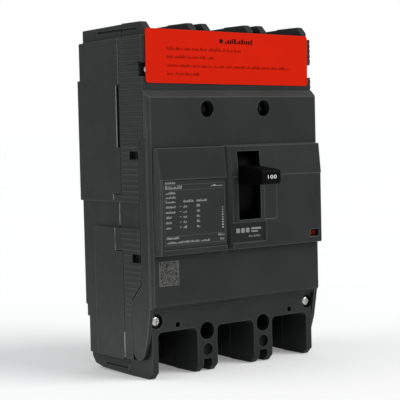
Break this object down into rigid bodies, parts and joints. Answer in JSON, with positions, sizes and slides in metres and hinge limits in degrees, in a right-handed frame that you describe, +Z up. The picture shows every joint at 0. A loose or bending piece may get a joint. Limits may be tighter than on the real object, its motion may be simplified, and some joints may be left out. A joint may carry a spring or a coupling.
{
  "type": "molded case circuit breaker",
  "caption": "Molded case circuit breaker with a tripped toggle, hinged front cover, open terminal pockets and a full switching and trip mechanism inside.",
  "frame": {"origin": "centre of the rear mounting face", "axes": "+X right seen from the front, +Y to the rear into the mounting plate, +Z up towards the line terminals"},
  "size_m": [0.105, 0.076, 0.165],
  "materials": {
    "case_plastic": "fine spark-eroded texture, dark green-grey",
    "toggle_plastic": "satin black",
    "button_plastic": "satin red",
    "fibre_plastic": "molded brown thermoset",
    "red_film": "satin adhesive film",
    "dark_film": "satin printed film",
    "copper": "bare copper",
    "tin_plate": "tin plate on copper",
    "zinc_plate": "bright zinc plate",
    "black_oxide": "black oxide",
    "steel": "plated sheet steel",
    "bimetal": "rolled strip"
  },
  "bodies": {
    "case": {"base_housing": "case_plastic", "mid_cover": "case_plastic", "line_end_label": "red_film", "cradle_pin": "zinc_plate", "mechanism_plate_left": "steel", "mechanism_plate_right": "steel", "toggle_pivot_pin_left": "zinc_plate", "toggle_pivot_pin_right": "zinc_plate", "trip_button_spring": "zinc_plate", "cover_screw_lower_left": "zinc_plate", "cover_screw_lower_right": "zinc_plate", "cover_screw_upper_left": "zinc_plate", "cover_screw_upper_right": "zinc_plate", "line_terminal_left": "tin_plate", "load_terminal_left": "tin_plate", "line_screw_left": "black_oxide", "load_screw_left": "black_oxide", "arc_chute_left": "steel", "flexible_braid_left": "copper", "bimetal_left": "bimetal", "magnet_yoke_left": "steel", "line_terminal_centre": "tin_plate", "load_terminal_centre": "tin_plate", "line_screw_centre": "black_oxide", "load_screw_centre": "black_oxide", "arc_chute_centre": "steel", "flexible_braid_centre": "copper", "bimetal_centre": "bimetal", "magnet_yoke_centre": "steel", "line_terminal_right": "tin_plate", "load_terminal_right": "tin_plate", "line_screw_right": "black_oxide", "load_screw_right": "black_oxide", "arc_chute_right": "steel", "flexible_braid_right": "copper", "bimetal_right": "bimetal", "magnet_yoke_right": "steel"},
    "front_cover_assembly": {"front_cover": "case_plastic", "rating_label": "dark_film", "front_cover_screw_left": "black_oxide", "front_cover_screw_right": "black_oxide"},
    "toggle": {"toggle_lever": "toggle_plastic", "toggle_yoke": "steel", "main_spring": "zinc_plate"},
    "contacts": {"crossbar": "fibre_plastic", "contact_arm_left": "copper", "contact_arm_centre": "copper", "contact_arm_right": "copper"},
    "lower_link": {"lower_link": "steel"},
    "cradle": {"cradle": "steel"},
    "upper_link": {"upper_link": "steel", "knee_pin": "zinc_plate"},
    "trip_bar": {"trip_bar": "fibre_plastic"},
    "latch": {"latch": "steel"},
    "trip_button": {"trip_button": "button_plastic"},
    "armature_left": {"armature_left": "steel"},
    "armature_centre": {"armature_centre": "steel"},
    "armature_right": {"armature_right": "steel"}
  },
  "joints": [
    {"name": "front_cover_hinge", "type": "hinge", "parent": "case", "child": "front_cover_assembly", "pos_m": [0, -0.046, -0.0693], "axis": [1, 0, 0], "range_deg": [0, 85]},
    {"name": "toggle_hinge", "type": "hinge", "parent": "case", "child": "toggle", "pos_m": [0.005, -0.016, 0.0055], "axis": [-1, 0, 0], "range_deg": [-19, 7.5], "deforming": ["main_spring"]},
    {"name": "contact_closing", "type": "hinge", "parent": "case", "child": "contacts", "pos_m": [0, -0.017, -0.0105], "axis": [-1, 0, 0], "range_deg": [0, 24], "deforming": ["flexible_braid_left", "flexible_braid_centre", "flexible_braid_right"]},
    {"name": "lower_link_pivot", "type": "hinge", "parent": "contacts", "child": "lower_link", "pos_m": [0.0035, -0.02046, 0.00219], "axis": [-1, 0, 0], "range_deg": [-3, 0]},
    {"name": "cradle_pivot", "type": "hinge", "parent": "case", "child": "cradle", "pos_m": [0.007, -0.032, 0.0215], "axis": [1, 0, 0], "range_deg": [0, 7.2]},
    {"name": "upper_link_pivot", "type": "hinge", "parent": "cradle", "child": "upper_link", "pos_m": [0.0051, -0.0355, 0.0017], "axis": [-1, 0, 0], "range_deg": [-18.5, 0]},
    {"name": "trip_button_push", "type": "slide", "parent": "case", "child": "trip_button", "axis": [0, 1, 0], "range_m": [0, 0.0022], "stiffness_N_per_m": 100, "springref_m": -0.004, "deforming": ["trip_button_spring"]},
    {"name": "trip_bar_pivot", "type": "hinge", "parent": "case", "child": "trip_bar", "pos_m": [0, -0.0385, -0.0285], "axis": [-1, 0, 0], "range_deg": [0, 16.5]},
    {"name": "latch_pivot", "type": "hinge", "parent": "case", "child": "latch", "pos_m": [0.01, -0.0315, -0.0305], "axis": [1, 0, 0], "range_deg": [0, 8.5]},
    {"name": "armature_left_pivot", "type": "hinge", "parent": "case", "child": "armature_left", "pos_m": [-0.035, -0.0311, -0.046], "axis": [-1, 0, 0], "range_deg": [0, 6], "stiffness_Nm_per_rad": 0.002, "springref_deg": -17.19},
    {"name": "armature_centre_pivot", "type": "hinge", "parent": "case", "child": "armature_centre", "pos_m": [0, -0.0311, -0.046], "axis": [-1, 0, 0], "range_deg": [0, 6], "stiffness_Nm_per_rad": 0.002, "springref_deg": -17.19},
    {"name": "armature_right_pivot", "type": "hinge", "parent": "case", "child": "armature_right", "pos_m": [0.035, -0.0311, -0.046], "axis": [-1, 0, 0], "range_deg": [0, 6], "stiffness_Nm_per_rad": 0.002, "springref_deg": -17.19}
  ],
  "couplings": [
    {"joint": "lower_link_pivot", "follows": "contact_closing", "ratio": -0.108},
    {"joint": "upper_link_pivot", "follows": "contact_closing", "ratio": -0.74},
    {"joint": "trip_bar_pivot", "follows": "trip_button_push", "rad_per_m": 111.7},
    {"joint": "latch_pivot", "follows": "trip_button_push", "rad_per_m": 55.8}
  ]
}
